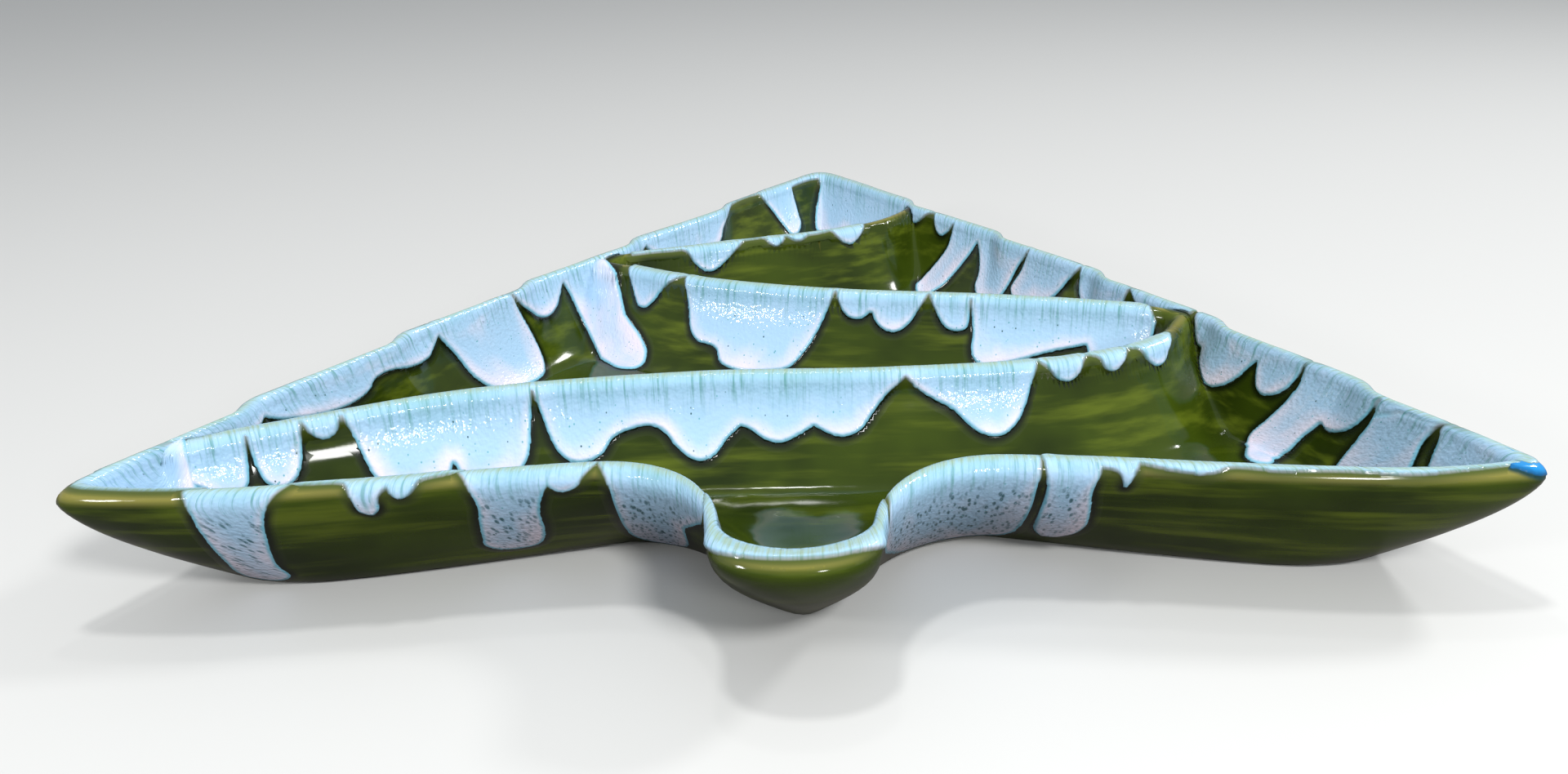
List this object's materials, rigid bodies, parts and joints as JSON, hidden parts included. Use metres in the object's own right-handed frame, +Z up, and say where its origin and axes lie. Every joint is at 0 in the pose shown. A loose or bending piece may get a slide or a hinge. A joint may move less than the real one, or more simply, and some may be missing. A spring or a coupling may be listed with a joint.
{
  "type": "divided serving tray",
  "caption": "Shallow glazed earthenware serving tray in a stepped conifer outline, with a flared wall, a spout-like trunk lobe and a zigzag divider that parts it into compartments.",
  "frame": {"origin": "centre of the bounding box, on the table plane", "axes": "+X from the left to the right front corner, +Y from the trunk to the tip, +Z up"},
  "size_m": [0.3389, 0.3322, 0.0372],
  "materials": {
    "green_glaze": "glossy mottled olive green glaze",
    "blue_overglaze": "glossy streaked pale blue overglaze",
    "corner_blue": "glossy bright blue glaze"
  },
  "bodies": {
    "root": {"tray_shell": "green_glaze", "lower_divider": "green_glaze", "middle_divider": "green_glaze", "upper_divider": "green_glaze", "right_front_glaze": "blue_overglaze", "right_middle_glaze": "blue_overglaze", "tip_glaze": "blue_overglaze", "left_wall_glaze": "blue_overglaze", "left_corner_glaze": "blue_overglaze", "front_left_run_glaze": "blue_overglaze", "front_left_rim_glaze": "blue_overglaze", "front_middle_run_glaze": "blue_overglaze", "left_throat_run_glaze": "blue_overglaze", "trunk_lip_glaze": "blue_overglaze", "right_throat_run_glaze": "blue_overglaze", "front_right_run_glaze": "blue_overglaze", "right_corner_touch": "corner_blue", "lower_divider_glaze": "blue_overglaze", "middle_divider_glaze": "blue_overglaze", "upper_divider_glaze": "blue_overglaze"}
  },
  "joints": []
}
